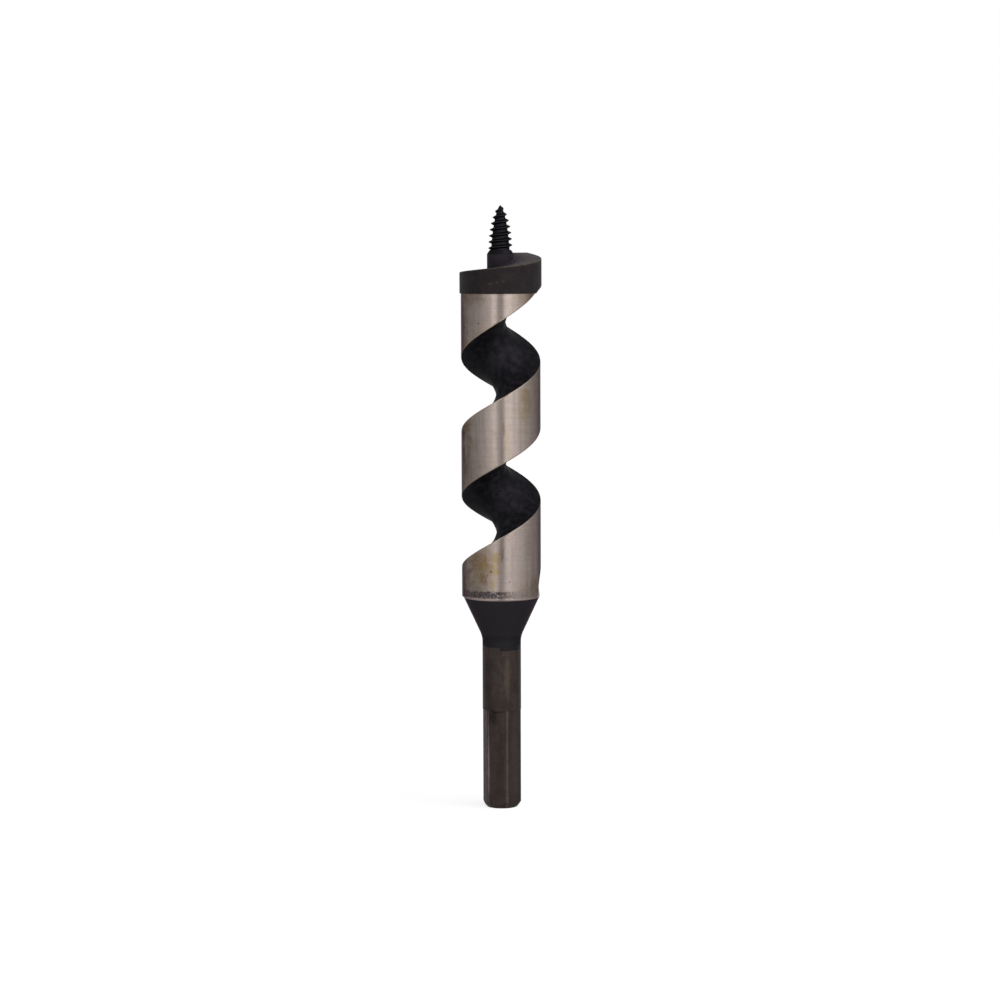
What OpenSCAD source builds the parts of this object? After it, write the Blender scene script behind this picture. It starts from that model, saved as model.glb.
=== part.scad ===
// Single-flute wood drill bit of the solid-centre auger kind.
// It stands on the end of its shank, with its axis along Z and the screw point up.

/* [Screw point] */
// Length of the thread, from the shoulder to the tip
thread_length = 13.95; // [11:0.05:17]
// Rise of the thread in one turn
thread_pitch = 1.93; // [1.5:0.01:2.6]
// Diameter over the thread crests at the shoulder
thread_d = 7.5; // [6.6:0.1:7.6]
// Height of a thread fin at the shoulder
thread_depth = 1.05; // [0.5:0.05:1.2]
// Direction in which the thread starts, in degrees
thread_phase = -104; // [-180:1:180]
// Height of the bevelled shoulder under the thread
shoulder_height = 1.25; // [0.8:0.05:2]
// Diameter of the spigot that holds the point in the neck
point_spigot_d = 4; // [3:0.1:4.6]
// Length of that spigot
point_spigot_length = 7.5; // [5:0.5:8]

/* [Cutting head] */
// Cutting diameter
head_d = 25.8; // [25.2:0.1:27]
// Height of the head's wall at the low end of its ramp
head_wall = 6.3; // [5:0.1:7.5]
// Rise of the ramp from there to the cutting edge
ramp_height = 6.35; // [5:0.05:8]
// How much the ramp steepens towards the cutting edge, where 0 is an even rise
ramp_bend = 0.5; // [0:0.05:0.8]
// Turn from the flute's first edge to the cutting edge, in degrees
lip_turn = 79; // [60:1:95]
// How slowly the lip's underside leaves the seat, where 1 is an even rise
lip_ease = 1.6; // [1:0.1:2]
// Thickness of the blunt left on the cutting edge
lip_edge = 0.3; // [0.2:0.05:0.6]
// Diameter of the neck that carries the screw point
neck_d = 8.2; // [7.8:0.1:9]
// Height of the neck's top above the seat of the head
neck_height = 12.3; // [12:0.1:15]
// Height over which the centre swells from the core to the neck
hub_height = 5; // [3:0.1:6]
// Diameter of the off-centre spigot that stops the head turning on the twist
head_spigot_d = 5.2; // [4:0.1:6]
// Length of that spigot
head_spigot_length = 4.5; // [3:0.1:5]

/* [Twist] */
// Diameter over the ground land
twist_d = 25; // [22:0.1:25.2]
// Length from the collar to the seat of the head
twist_length = 95.95; // [80:0.05:140]
// Rise of the flute in one turn, next to the head
flute_lead = 53.4; // [42:0.1:58]
// Rise of the flute in one turn, next to the collar
foot_lead = 43.3; // [40:0.1:52]
// How quickly the rise settles below the head, where 1 is an even change over the whole twist
lead_ease = 5.7; // [1:0.1:8]
// Part of a turn that the flute takes, in degrees
flute_angle = 188.4; // [170:0.2:200]
// Direction in which the flute opens under the head, in degrees
flute_phase = -30; // [-180:1:180]
// Diameter of the solid centre at the bottom of the flute
core_d = 3; // [2.4:0.1:4.5]
// Squareness of the flute, where 2 is a plain ellipse
flute_square = 2.7; // [2:0.1:3]
// Length over which the flute rises out of the bar
runout_length = 18.5; // [14:0.1:24]
// Depth of flute that is left at the collar
runout_depth = 0.7; // [0.5:0.1:1.5]
// Bevel on the lower edge of the land
land_bevel = 0.5; // [0.2:0.1:0.8]

/* [Collar] */
// Length of the cone
cone_length = 12.55; // [8:0.05:18]
// Step from the land in to the top of the cone
cone_step = 0.55; // [0.5:0.05:1.6]
// Length of the straight neck below the cone
collar_neck_length = 2.5; // [1.5:0.1:6]

/* [Shank] */
// Diameter of the round bar
shank_d = 12.2; // [12:0.1:13]
// Length of the shank below the collar
shank_length = 52; // [42:0.5:80]
// Width across the hexagon's flats
hex_af = 11.1; // [10.6:0.1:11.6]
// Length of the flats
hex_length = 30.5; // [20:0.1:36]
// Turn of the hexagon about the axis, in degrees
hex_turn = -14.5; // [-30:0.1:30]
// Length over which a flat runs out into the round bar
flat_runout = 0.8; // [0.4:0.1:2]
// Inward size of the bevel on the shank's end
end_bevel = 1.35; // [0.5:0.05:2]
// Height of that bevel
end_bevel_height = 1.9; // [0.5:0.1:3]
// Diameter of the tang that passes through the collar
tang_d = 8; // [6:0.1:9]
// Length of tang held in the twist
tang_hold = 7.5; // [5:0.1:8]

/* [Fits] */
// Gap on the radius of every brazed spigot
braze_gap = 0.05; // [0.03:0.01:0.1]
// Room left beyond the end of a spigot
end_gap = 0.3; // [0.2:0.1:0.6]

/* [Hidden] */
$fn = 96;

// Radii
thread_r = thread_d / 2;
head_r = head_d / 2;
neck_r = neck_d / 2;
twist_r = twist_d / 2;
core_r = core_d / 2;
shank_r = shank_d / 2;
tang_r = tang_d / 2;

// Heights up the axis
cone_z = shank_length + collar_neck_length;
seat_z = cone_z + cone_length;
head_z = seat_z + twist_length;
neck_z = head_z + neck_height;
thread_z = neck_z + shoulder_height;
tip_z = thread_z + thread_length;

// Overlap that lets one solid bite into or pass through another, and a finer one for close faces
bite = 1;
nip = 0.05;

// Flute: a helical groove whose section is part of a rounded rectangle.
// The groove is drawn a little wider than the bar, so that it cuts the bar's surface cleanly.
groove_r = twist_r + bite;
groove_depth = groove_r - core_r;
flute_width = flute_lead * flute_angle / 360;
runout_lift = twist_r - core_r - runout_depth;
flute_steps = 20;
land_steps = 12;
ring_step = 1.5;

// Cutting lip: the ramp on top and the flute below close in on each other at lip_turn.
// The flute gets squarer towards the edge, and its cutters start and end a little outside the metal.
ramp_turn = 360 + lip_turn - flute_angle;
head_top = head_z + head_wall + ramp_height + bite;
lip_square = 6;
lip_margin = 2;
lip_lead_in = 8;
lip_sink = 0.9 * bite;
wall_clear = head_r + 2 * bite;
head_steps = 24;

// Off-centre spigot, in the middle of the land
head_spigot_turn = flute_phase + (flute_angle + 360) / 2;
head_spigot_reach = (twist_r + core_r) / 2;

// Thread: an ogive with a sharp fin wound round it, drawn from spare turns below the shoulder.
// Each fin point has its place in the pitch and its share of the fin's height.
thread_ogive = [2.2, 0.65];
thread_root = 1 - thread_depth / thread_r;
thread_fin = [[0.28, 0], [0.5, 1], [0.72, 0]];
thread_columns = 24;
thread_spare = 2;
thread_levels = len(thread_fin) * (ceil(thread_length / thread_pitch) + thread_spare + 1);
thread_foot_z = thread_z - shoulder_height / 4;
tip_r = 0.15;
shoulder_lip = 0.3;

function clamp(v, low, high) = min(max(v, low), high);

// A point at a radius, a turn in degrees and a height
function polar(r, turn, z) = [r * cos(turn), r * sin(turn), z];

// Solid through a row of closed sections, each with the same number of points
module loft(sections) {
    n = len(sections[0]);
    last = len(sections) - 1;
    middles = [for (s = [sections[0], sections[last]])
        [for (axis = [0 : 2]) sum([for (p = s) p[axis]]) / n]];
    foot = n * (last + 1);
    sides = [for (i = [0 : last - 1], j = [0 : n - 1])
        let (a = i * n + j, b = i * n + (j + 1) % n)
        each [[a, a + n, b + n], [a, b + n, b]]];
    ends = [for (j = [0 : n - 1])
        let (k = (j + 1) % n)
        each [[foot, j, k], [foot + 1, last * n + k, last * n + j]]];
    polyhedron([each [for (s = sections) each s], each middles], concat(sides, ends));
}

function sum(values, i = 0) = i < len(values) ? values[i] + sum(values, i + 1) : 0;

// Half of the groove's section: depth and distance across, as shares of the whole, for t from 0 to 180
function groove_deep(t, square) = pow(sin(t), 2 / square);
function groove_across(t, square) = (1 - sign(cos(t)) * pow(abs(cos(t)), 2 / square)) / 2;
function groove_radius(t, square) = groove_r - groove_depth * groove_deep(t, square);

// Direction of the groove's first edge at a height; below the head the twist tightens, then keeps its lead
function flute_turn(z) =
    let (down = head_z - z)
    let (left = max(0, 1 - down / twist_length))
    let (eased = twist_length / (lead_ease + 1) * (1 - pow(left, lead_ease + 1)))
    flute_phase - 360 * (down / foot_lead + (1 / flute_lead - 1 / foot_lead) * eased);

// How far the floor of the groove has risen at a height near the collar
function flute_lift(z) =
    runout_lift * (1 - cos(180 * clamp((seat_z + runout_length - z) / runout_length, 0, 1))) / 2;

// One section of the fluted bar: along the groove, then round the land
function twist_ring(z) = concat(
    [for (k = [0 : flute_steps])
        let (t = 180 * k / flute_steps)
        polar(groove_radius(t, flute_square) + flute_lift(z),
            flute_turn(z) + flute_angle * groove_across(t, flute_square), z)],
    [for (k = [1 : land_steps - 1])
        polar(groove_r + flute_lift(z),
            flute_turn(z) + flute_angle + (360 - flute_angle) * k / land_steps, z)]);

// Rise of the ramp above the head's seat, for a turn counted from the flute's first edge
function ramp_rise(turn) =
    let (share = (turn - flute_angle) / ramp_turn)
    head_wall + ramp_height * share * (1 - ramp_bend + ramp_bend * share);

// Rise of the lip's underside above the head's seat, for the same turn
function lip_rise(turn) =
    turn < 0 ? flute_lead * turn / 360
        : (head_wall + ramp_height - lip_edge) * pow(turn / lip_turn, lip_ease);

// Radius and share across the groove, from inside the hub out past the head's wall
function lip_profile(square) = [
    [core_r / 2, 0.5],
    for (k = [flute_steps / 2 : -1 : 0])
        let (t = 180 * k / flute_steps)
        [groove_radius(t, square), groove_across(t, square)],
    [wall_clear, 0]];

// Upright section at a turn, between a row of upper points and a row of lower points
function upright(turn, upper, lower) = [
    for (p = upper) polar(p[0], flute_phase + turn, head_z + p[1]),
    for (k = [len(lower) - 1 : -1 : 0]) polar(lower[k][0], flute_phase + turn, head_z + lower[k][1])];

// Space under the cutting lip, where the flute turns square towards the edge
module lip_underside() {
    from = -lip_lead_in;
    to = lip_turn + lip_margin;
    loft([for (k = [0 : head_steps])
        let (turn = from + (to - from) * k / head_steps)
        let (ease = clamp(turn / lip_turn, 0, 1))
        let (profile = lip_profile(flute_square + (lip_square - flute_square) * ease))
        upright(turn,
            [for (p = profile) [p[0], max(-lip_sink, lip_rise(turn) - flute_width * p[1])]],
            [for (p = profile) [p[0], -bite]])]);
}

// Open throat in front of the cutting lip, down to the lower wall of the flute
module throat() {
    profile = lip_profile(flute_square);
    loft([for (k = [0 : head_steps])
        let (turn = lip_turn + (flute_angle - lip_turn) * k / head_steps)
        upright(turn,
            [for (p = profile) [p[0], head_top - head_z + bite]],
            [for (p = profile) [p[0], max(-bite, flute_lead * turn / 360 - flute_width * (1 - p[1]))]])]);
}

// Everything above the helical ramp
module above_ramp() {
    from = flute_angle - lip_margin;
    to = 360 + lip_turn + lip_margin;
    radii = [neck_r / 2, wall_clear];
    loft([for (k = [0 : 2 * head_steps])
        let (turn = from + (to - from) * k / (2 * head_steps))
        upright(turn,
            [for (r = radii) [r, head_top - head_z + bite]],
            [for (r = radii) [r, ramp_rise(turn)]])]);
}

// Height of a thread point before it is held between the foot and the tip
function thread_height(column, level) =
    thread_z + thread_pitch * (floor(level / len(thread_fin)) - thread_spare
        + thread_fin[level % len(thread_fin)][0] + column / thread_columns);

// Radius over the crests at a height
function thread_crest(z) =
    thread_r * pow(1 - pow(clamp((z - thread_z) / thread_length, 0, 1), thread_ogive[0]), thread_ogive[1]);

function thread_point(column, level) =
    let (z = thread_height(column, level))
    let (crest = thread_crest(z))
    let (start = clamp((z - thread_z) / thread_pitch, 0, 1))
    let (fin = thread_fin[level % len(thread_fin)][1] * start)
    polar(max(tip_r, crest * (thread_root + (1 - thread_root) * fin)),
        thread_phase + 360 * column / thread_columns, clamp(z, thread_foot_z, tip_z));

// Threaded point as one closed mesh whose rows follow the thread
module thread_body() {
    n = thread_levels;
    levels = [0 : n - 1];
    lows = [for (c = [0 : thread_columns - 1])
        len([for (i = levels) if (thread_height(c, i) <= thread_foot_z) i]) - 1];
    highs = [for (c = [0 : thread_columns - 1])
        n - len([for (i = levels) if (thread_height(c, i) >= tip_z) i])];
    // After the last column the rows join the first column one turn higher
    place = function (c, i)
        let (d = c % thread_columns, j = c < thread_columns ? i : i + len(thread_fin))
        d * n + clamp(j, lows[d], highs[d]);
    foot = thread_columns * n;
    points = concat(
        [for (c = [0 : thread_columns - 1], i = levels) thread_point(c, i)],
        [[0, 0, thread_foot_z], [0, 0, tip_z]]);
    sides = [for (c = [0 : thread_columns - 1], i = [0 : n - 2])
        let (a = place(c, i), b = place(c + 1, i), d = place(c, i + 1), e = place(c + 1, i + 1))
        each [[a, d, e], [a, e, b]]];
    ends = [for (c = [0 : thread_columns - 1])
        each [[foot, place(c, 0), place(c + 1, 0)], [foot + 1, place(c + 1, n - 1), place(c, n - 1)]]];
    polyhedron(points,
        [for (f = concat(sides, ends)) if (f[0] != f[1] && f[1] != f[2] && f[2] != f[0]) f]);
}

// Moves children to the off-centre spigot, with the head's seat at zero
module at_head_spigot() {
    translate(polar(head_spigot_reach, head_spigot_turn, head_z)) children();
}

// Sharp threaded point with its bevelled shoulder and the spigot below it
module screw_point() {
    color("#1d1c1c") {
        thread_body();
        translate([0, 0, neck_z])
            cylinder(r1 = neck_r, r2 = thread_r * thread_root + shoulder_lip, h = shoulder_height);
        translate([0, 0, neck_z - point_spigot_length])
            cylinder(d = point_spigot_d, h = point_spigot_length + shoulder_height / 2);
    }
}

// Head with its helical ramp, cutting lip, open throat and bored neck
module cutting_head() {
    color("#2b2927") difference() {
        union() {
            difference() {
                translate([0, 0, head_z]) cylinder(r = head_r, h = head_top - head_z);
                above_ramp();
                lip_underside();
                throat();
                translate([0, 0, neck_z]) cylinder(r = neck_r + braze_gap, h = head_top - head_z);
            }
            translate([0, 0, head_z]) cylinder(r1 = core_r, r2 = neck_r, h = hub_height);
            translate([0, 0, head_z + hub_height]) cylinder(r = neck_r, h = neck_height - hub_height);
            at_head_spigot() translate([0, 0, -head_spigot_length])
                cylinder(d = head_spigot_d, h = head_spigot_length + bite);
        }
        translate([0, 0, neck_z - point_spigot_length - end_gap])
            cylinder(r = point_spigot_d / 2 + braze_gap, h = point_spigot_length + end_gap + bite);
    }
}

// Fluted bar with its ground land and a socket in each end
module twist_body() {
    rings = ceil((twist_length + 2 * bite) / ring_step);
    color("#8d8681") difference() {
        intersection() {
            rotate_extrude() polygon([
                [0, seat_z], [twist_r - land_bevel, seat_z], [twist_r, seat_z + land_bevel],
                [twist_r, head_z], [0, head_z]]);
            loft([for (i = [0 : rings]) twist_ring(seat_z - bite + (twist_length + 2 * bite) * i / rings)]);
        }
        at_head_spigot() translate([0, 0, -head_spigot_length - end_gap])
            cylinder(r = head_spigot_d / 2 + braze_gap, h = head_spigot_length + end_gap + bite);
        translate([0, 0, seat_z - bite])
            cylinder(r = tang_r + braze_gap, h = tang_hold + end_gap + bite);
    }
}

// Black cone between the shank and the twist, bored for the tang
module shank_collar() {
    color("#1c1b1e") difference() {
        union() {
            translate([0, 0, shank_length]) cylinder(r = shank_r, h = collar_neck_length);
            translate([0, 0, cone_z]) cylinder(r1 = shank_r, r2 = twist_r - cone_step, h = cone_length);
        }
        translate([0, 0, shank_length - bite])
            cylinder(r = tang_r + braze_gap, h = seat_z - shank_length + 2 * bite);
    }
}

// Wide bar whose lower end is slightly domed, so that it passes through a lower and an upper circle
module domed_bar(low_r, low_z, high_r, high_z, top_z) {
    middle = (pow(high_r, 2) - pow(low_r, 2) + pow(high_z, 2) - pow(low_z, 2)) / (2 * (high_z - low_z));
    intersection() {
        union() {
            translate([0, 0, middle]) sphere(r = norm([low_r, low_z - middle]));
            translate([0, 0, high_z + nip]) cylinder(r = high_r + bite, h = top_z - high_z);
        }
        translate([0, 0, low_z]) cylinder(r = high_r + 2 * bite, h = top_z - low_z);
    }
}

// Shank: bevelled hexagon with cut corners, round bar and the tang
module drive_shank() {
    flats_top = hex_length + flat_runout;
    over_z = shank_length + bite;
    color("#4a3c34") {
        intersection() {
            cylinder(r = shank_r, h = shank_length);
            domed_bar(shank_r - end_bevel, 0, shank_r, end_bevel_height, over_z);
            union() {
                rotate(hex_turn) translate([0, 0, -bite])
                    cylinder(d = hex_af / cos(30), h = flats_top + 2 * bite, $fn = 6);
                domed_bar(hex_af / 2 - nip, hex_length, shank_r, flats_top, over_z);
            }
        }
        translate([0, 0, shank_length - bite])
            cylinder(r = tang_r, h = seat_z - shank_length + tang_hold + bite);
    }
}

screw_point();
cutting_head();
twist_body();
shank_collar();
drive_shank();
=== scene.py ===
# %% [markdown]
# A drill bit for wood, dressed for a studio picture.
# The CAD model gives the sizes and the places of five joined lengths: a screw point, a cutting head, a twist,
# a collar and a shank. Here each of them gets a finer surface and a finish made of shader nodes.
# The model is in metres, with the axis of the bit along Z and the end of the shank at zero.

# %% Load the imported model
import math

import bpy
import numpy as np
from mathutils import Matrix, Vector


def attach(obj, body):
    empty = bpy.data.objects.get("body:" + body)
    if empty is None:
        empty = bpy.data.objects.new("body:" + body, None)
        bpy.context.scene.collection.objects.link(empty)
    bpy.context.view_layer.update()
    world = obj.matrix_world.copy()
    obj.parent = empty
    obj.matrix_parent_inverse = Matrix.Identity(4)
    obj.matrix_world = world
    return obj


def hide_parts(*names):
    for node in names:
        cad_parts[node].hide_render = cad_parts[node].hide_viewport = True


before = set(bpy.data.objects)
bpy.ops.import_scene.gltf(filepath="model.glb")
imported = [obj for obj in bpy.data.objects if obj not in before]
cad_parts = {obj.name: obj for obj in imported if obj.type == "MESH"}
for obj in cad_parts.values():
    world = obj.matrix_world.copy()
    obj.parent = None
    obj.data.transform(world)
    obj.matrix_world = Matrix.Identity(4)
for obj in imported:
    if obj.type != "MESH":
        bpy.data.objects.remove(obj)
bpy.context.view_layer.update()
print("pieces in the frame:", sorted(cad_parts))

# %% [markdown]
# Sizes. A maker would read them off a drawing. Most are the same as in the CAD source, and a few differ by up to
# some tenths of a millimetre, where a finer surface follows the real bit more closely. Each length is a number of
# millimetres times one constant, so that all lengths below are in metres. Turns are in degrees.

# %% Sizes of the shank, the collar and the twist
MM = 0.001

SHANK_R = 6.1 * MM
SHANK_LENGTH = 52.0 * MM
HEX_FLAT = 5.55 * MM
HEX_TURN = -14.5
HEX_LENGTH = 30.5 * MM
FLAT_RUNOUT = 0.8 * MM
FLATS_TOP = HEX_LENGTH + FLAT_RUNOUT
END_BEVEL = 1.35 * MM
END_BEVEL_HEIGHT = 1.9 * MM

CONE_Z = 54.5 * MM
CONE_TOP_R = 11.95 * MM
CONE_EASE = 1.6 * MM

SEAT_Z = 67.05 * MM
HEAD_Z = 163.0 * MM
TWIST_R = 12.5 * MM
TWIST_LENGTH = HEAD_Z - SEAT_Z
CORE_R = 1.5 * MM
GROOVE_MARGIN = 1.0 * MM
GROOVE_R = TWIST_R + GROOVE_MARGIN
GROOVE_DEPTH = GROOVE_R - CORE_R
FLUTE_LEAD = 53.4 * MM
FOOT_LEAD = 43.3 * MM
LEAD_EASE = 5.7
FLUTE_ANGLE = 188.4
FLUTE_PHASE = -30.0
FLUTE_SQUARE = 2.7
FLUTE_WIDTH = FLUTE_LEAD * FLUTE_ANGLE / 360
RUNOUT_LENGTH = 18.5 * MM
RUNOUT_DEPTH = 0.45 * MM
RUNOUT_LIFT = TWIST_R - CORE_R - RUNOUT_DEPTH
LAND_BEVEL = 0.5 * MM
LAND_LEAN = 0.51
EDGE_DROP = 0.06 * MM
EDGE_REACH = 0.16 * MM
BRIGHT_DEPTH, BRIGHT_DEPTH_FADE = 1.5 * MM, 0.15 * MM
BRIGHT_HEIGHT, BRIGHT_HEIGHT_FADE = 6.0 * MM, 2.0 * MM
print("length of the twist %.2f mm" % (TWIST_LENGTH / MM))

# %% Sizes of the head and the screw point
HEAD_R = 12.9 * MM
HEAD_INNER_R = 1.3 * MM
HEAD_WALL = 6.3 * MM
HEAD_ROUND = 0.22 * MM
ROUND_LIMIT = 0.4
FOOT_ROUND = 0.5
RAMP_HEIGHT = 6.35 * MM
RAMP_BEND = 0.5
LIP_TURN = 79.0
LIP_EASE = 1.6
LIP_EDGE = 0.3 * MM
LIP_SQUARE = 6.0
LIP_START = 5.0 * MM
LIP_START_TURN = 35.0
RAMP_END = 360 + LIP_TURN
RAMP_TURN = RAMP_END - FLUTE_ANGLE
THROAT_SINK, THROAT_TOP_GAP = 0.05 * MM, 0.3 * MM
HUB_HEIGHT = 5.0 * MM
NECK_R = 4.22 * MM
NECK_HEIGHT = 12.3 * MM
NECK_Z = HEAD_Z + NECK_HEIGHT
NECK_BEVEL = 0.1 * MM
NECK_FILLET = 0.5 * MM
# Reach of the darkening on the ramp, out from the neck
NECK_DARK_REACH = 4.4 * MM
BORE_R, BORE_DEPTH, BORE_FLOOR_R = 2.05 * MM, 7.8 * MM, 0.2 * MM

SPIGOT_R, SPIGOT_LENGTH = 2.0 * MM, 7.5 * MM
SHOULDER_HEIGHT = 1.25 * MM
THREAD_Z = NECK_Z + SHOULDER_HEIGHT
THREAD_LENGTH = 13.95 * MM
TIP_Z = THREAD_Z + THREAD_LENGTH
TIP_R = 0.15 * MM
THREAD_PITCH = 1.93 * MM
THREAD_R = 3.75 * MM
THREAD_DEPTH = 1.05 * MM
THREAD_ROOT = 1 - THREAD_DEPTH / THREAD_R
THREAD_PHASE = -104.0
OGIVE_POWER, OGIVE_ROUND = 2.2, 0.65
ROOT_THINNING = 0.12
ROOT_SWELL = 0.064
SHOULDER_LIP = 0.65 * MM
SHOULDER_TOP_R = THREAD_R - THREAD_DEPTH + SHOULDER_LIP
FIN_FADE, FIN_FADE_LEAST = 0.28, 0.03
FIN_HALF_WIDTH = 0.31
FIN_CREST = 0.16
FIN_SUNK = 0.4
FIN_LEAST_R = 0.02 * MM
FIN_END_GAP, FIN_TOP_GAP = 0.35 * MM, 0.05 * MM
print("overall length %.1f mm" % (TIP_Z / MM))

# %% [markdown]
# Every piece here is a tube of rings: a grid of points whose columns close round and whose rows follow one
# another, with a flat face over each end. A cylinder from Blender's menu and many modifiers could give
# something close, but a grid follows a formula exactly, and each point can carry measured values, such as its
# distance from an edge in millimetres, which the finishes read later.

# %% Tubes of rings into one mesh piece
FAR_FROM_EDGE = 9.0


def polar(radius, turn, height):
    """Points at a radius, a turn in degrees and a height: x = r cos(turn), y = r sin(turn), z = height."""
    radius, turn, height = np.broadcast_arrays(radius, np.radians(turn), height)
    return np.stack([radius * np.cos(turn), radius * np.sin(turn), height], axis=-1)


def length_along(grid):
    """Distance of each point from the first one of its ring: the running sum of the steps between them."""
    steps = np.linalg.norm(np.diff(grid, axis=1), axis=-1)
    return np.concatenate([np.zeros((len(grid), 1)), np.cumsum(steps, axis=1)], axis=1)


def tube_faces(rows, columns, first):
    """Quads between neighbouring rings, and one many-sided face over the first and over the last ring."""
    i, j = np.meshgrid(np.arange(rows - 1), np.arange(columns), indexing="ij")
    k = (j + 1) % columns
    quads = np.stack([i * columns + j, i * columns + k, (i + 1) * columns + k, (i + 1) * columns + j], axis=-1)
    ring = np.arange(columns)
    return quads.reshape(-1, 4) + first, [ring[::-1] + first, ring + (rows - 1) * columns + first]


def fill_mesh(mesh, points, quads, ends):
    """Points, quads and many-sided end faces put into an empty mesh. Returns the number of faces."""
    corners = np.concatenate([quads.ravel(), *ends])
    counts = np.concatenate([np.full(len(quads), 4), [len(e) for e in ends]])
    mesh.vertices.add(len(points))
    mesh.vertices.foreach_set("co", points.astype(np.float32).ravel())
    mesh.loops.add(len(corners))
    mesh.loops.foreach_set("vertex_index", corners.astype(np.int32))
    mesh.polygons.add(len(counts))
    mesh.polygons.foreach_set("loop_start", (np.cumsum(counts) - counts).astype(np.int32))
    mesh.update(calc_edges=True)
    return len(counts)


def make_piece(name, node, tubes, sharp_angle=35):
    """One mesh from tubes. A tube is a grid of points (rows, columns, 3) and its named values at the points."""
    points, quads, ends, marks, first = [], [], [], {}, 0
    for grid, values in tubes:
        rows, columns = grid.shape[:2]
        tube_quads, tube_ends = tube_faces(rows, columns, first)
        points.append(grid.reshape(-1, 3))
        quads.append(tube_quads)
        ends += tube_ends
        for key, value in values.items():
            marks.setdefault(key, []).append(np.broadcast_to(value, (rows, columns)).ravel())
        first += rows * columns
    points = np.concatenate(points)
    assert np.isfinite(points).all(), name
    mesh = bpy.data.meshes.new(name)
    faces = fill_mesh(mesh, points, np.concatenate(quads), ends)
    for key, parts in marks.items():
        layer = mesh.attributes.new(key, "FLOAT", "POINT")
        layer.data.foreach_set("value", np.concatenate(parts).astype(np.float32))
    mesh.shade_smooth()
    mesh.set_sharp_from_angle(angle=math.radians(sharp_angle))
    changed = mesh.validate()
    piece = bpy.data.objects.new(name, mesh)
    bpy.context.scene.collection.objects.link(piece)
    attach(piece, "root")
    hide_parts(node)
    print(name, "points", first, "faces", faces, "repaired" if changed else "sound")
    return piece


# %% [markdown]
# The twist is the long middle of the bit: a bar with one wide helical groove, the flute, and the ground
# surface that is left between its turns, the land. On the real bit it is forged or milled and then ground
# round. A screw modifier could sweep a section, but the twist tightens slightly towards the collar and the
# groove rises to the surface there, so each ring is worked out at its own height.
# The groove's section lies between an ellipse and a rectangle: the value named square is 2 for an ellipse, and
# more makes the floor flatter.

# %% Formulas of the flute
def flute_turn(z):
    """Direction of the flute's first edge: phase minus 360 degrees per lead. The lead is longest at the head, and
    its difference from the lead at the foot fades with a power of the length that is left below."""
    down = HEAD_Z - z
    left = np.maximum(0, 1 - down / TWIST_LENGTH)
    eased_length = TWIST_LENGTH / (LEAD_EASE + 1) * (1 - left ** (LEAD_EASE + 1))
    return FLUTE_PHASE - 360 * (down / FOOT_LEAD + (1 / FLUTE_LEAD - 1 / FOOT_LEAD) * eased_length)


def flute_lift(z):
    """Rise of the flute's floor near the collar: half a cosine wave over the run-out."""
    share = np.clip((SEAT_Z + RUNOUT_LENGTH - z) / RUNOUT_LENGTH, 0, 1)
    return RUNOUT_LIFT * (1 - np.cos(np.pi * share)) / 2


def groove_across(t, square):
    """Share of the way across the groove: half of one minus the signed power of cos t."""
    return (1 - np.sign(np.cos(t)) * np.abs(np.cos(t)) ** (2 / square)) / 2


def groove_radius(t):
    """Radius on the flute's section: its outer radius minus its depth times a power of sin t."""
    return GROOVE_R - GROOVE_DEPTH * np.sin(t) ** (2 / FLUTE_SQUARE)


def groove_t(radius, square):
    """The value t at a radius on the first half of the groove: the arc sine of a power of the depth's share."""
    deep = np.clip((GROOVE_R - radius) / GROOVE_DEPTH, 0, 1)
    return np.arcsin(deep ** (square / 2))


def across_at(radius, square):
    """Share of the way across at a radius, on the first half of the groove."""
    return groove_across(groove_t(radius, square), square)


# %% The twist
def close_to_ends(count, even_share=0.15):
    """Numbers from 0 to 1, closer together near both ends: a blend of even steps and half a cosine wave."""
    even = np.linspace(0, 1, count)
    return even_share * even + (1 - even_share) * (1 - np.cos(np.pi * even)) / 2


def edge_drop(gap):
    """Drop of the land towards its edge: a bell curve of the distance from the edge."""
    return EDGE_DROP * np.exp(-(gap / EDGE_REACH) ** 2)


def twist_rows(row_step=0.3 * MM, bevel_rows=3):
    """Heights of the rings: a few on the bevel at the foot, then even steps up to the head."""
    bevel = np.linspace(0, LAND_BEVEL, bevel_rows, endpoint=False)
    rows = np.concatenate([bevel, np.linspace(LAND_BEVEL, TWIST_LENGTH, int(TWIST_LENGTH / row_step))])
    return (SEAT_Z + rows)[:, None]


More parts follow.
